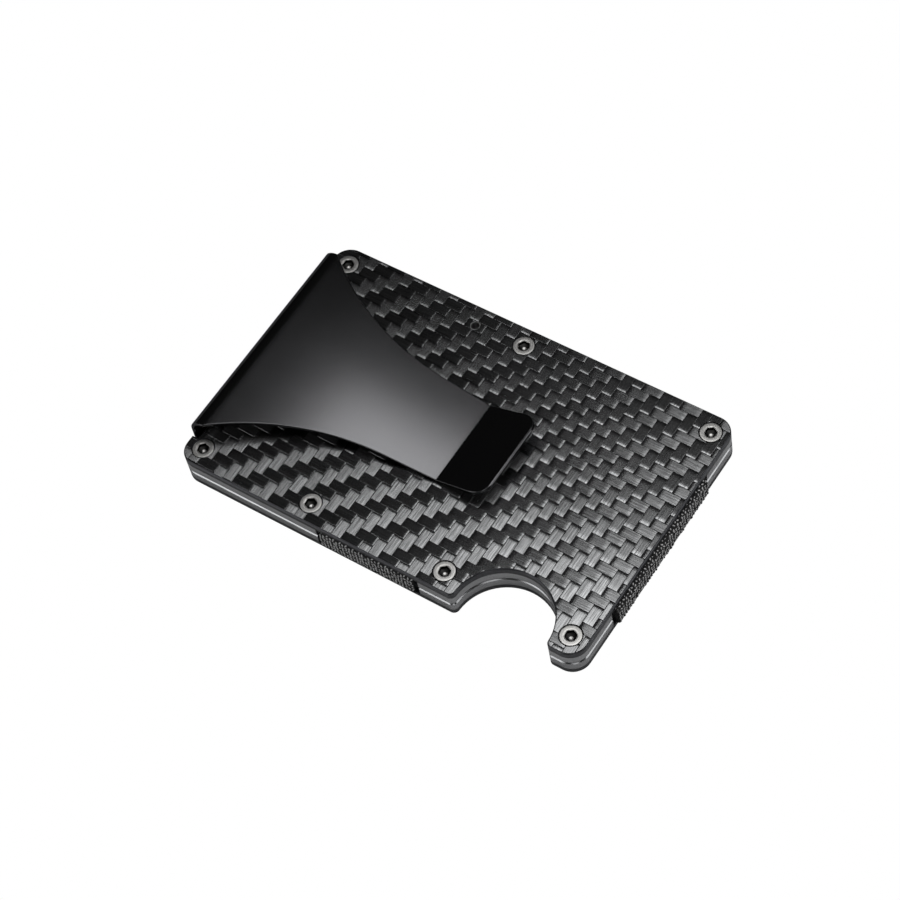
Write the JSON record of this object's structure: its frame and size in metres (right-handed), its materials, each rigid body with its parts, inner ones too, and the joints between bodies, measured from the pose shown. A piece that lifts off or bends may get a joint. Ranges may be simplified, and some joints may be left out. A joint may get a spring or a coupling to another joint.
{
  "type": "money clip",
  "caption": "Slim card holder of two woven-laminate panels held together by elastic bands, with a folded spring-sheet money clip on one face and a thumb notch.",
  "frame": {"origin": "centre of the back face's 86 x 54.4 mm outline, on the face that lies on a table", "axes": "+X along the long side, from the clip's fold to the closed end; -Y towards the thumb notch; +Z out of the back face, through both panels, to the clip"},
  "size_m": [0.0868, 0.055, 0.0116],
  "materials": {
    "carbon_laminate": "2x2 twill carbon laminate under clear epoxy",
    "anodised_plate": "black anodised, satin",
    "screw_steel": "turned steel, plain",
    "elastic_weave": "woven ribbed elastic, black",
    "clip_steel": "black coated spring steel, satin"
  },
  "bodies": {
    "lower_panel": {"lower_face_plate": "carbon_laminate", "lower_inner_plate": "anodised_plate", "lower_screw_1": "screw_steel", "lower_screw_2": "screw_steel", "lower_screw_3": "screw_steel", "lower_screw_4": "screw_steel", "lower_screw_5": "screw_steel", "lower_screw_6": "screw_steel", "lower_screw_7": "screw_steel", "elastic_band_front": "elastic_weave", "elastic_band_rear": "elastic_weave", "elastic_band_end": "elastic_weave"},
    "upper_panel": {"upper_face_plate": "carbon_laminate", "upper_inner_plate": "anodised_plate", "upper_screw_1": "screw_steel", "upper_screw_2": "screw_steel", "upper_screw_3": "screw_steel", "upper_screw_4": "screw_steel", "upper_screw_5": "screw_steel", "upper_screw_6": "screw_steel", "upper_screw_7": "screw_steel", "register_pin": "screw_steel", "clip_base": "clip_steel"},
    "clip": {"clip_arm": "clip_steel"}
  },
  "joints": [
    {"name": "panel_spread", "type": "slide", "parent": "lower_panel", "child": "upper_panel", "axis": [0, 0, 1], "range_m": [0, 0.009], "stiffness_N_per_m": 2000, "springref_m": -0.001, "deforming": ["elastic_band_front", "elastic_band_rear", "elastic_band_end"]},
    {"name": "clip_flex", "type": "hinge", "parent": "upper_panel", "child": "clip", "pos_m": [-0.04263, 0, 0.0069], "axis": [0, -1, 0], "range_deg": [0, 6], "stiffness_Nm_per_rad": 1, "springref_deg": -5.73}
  ]
}
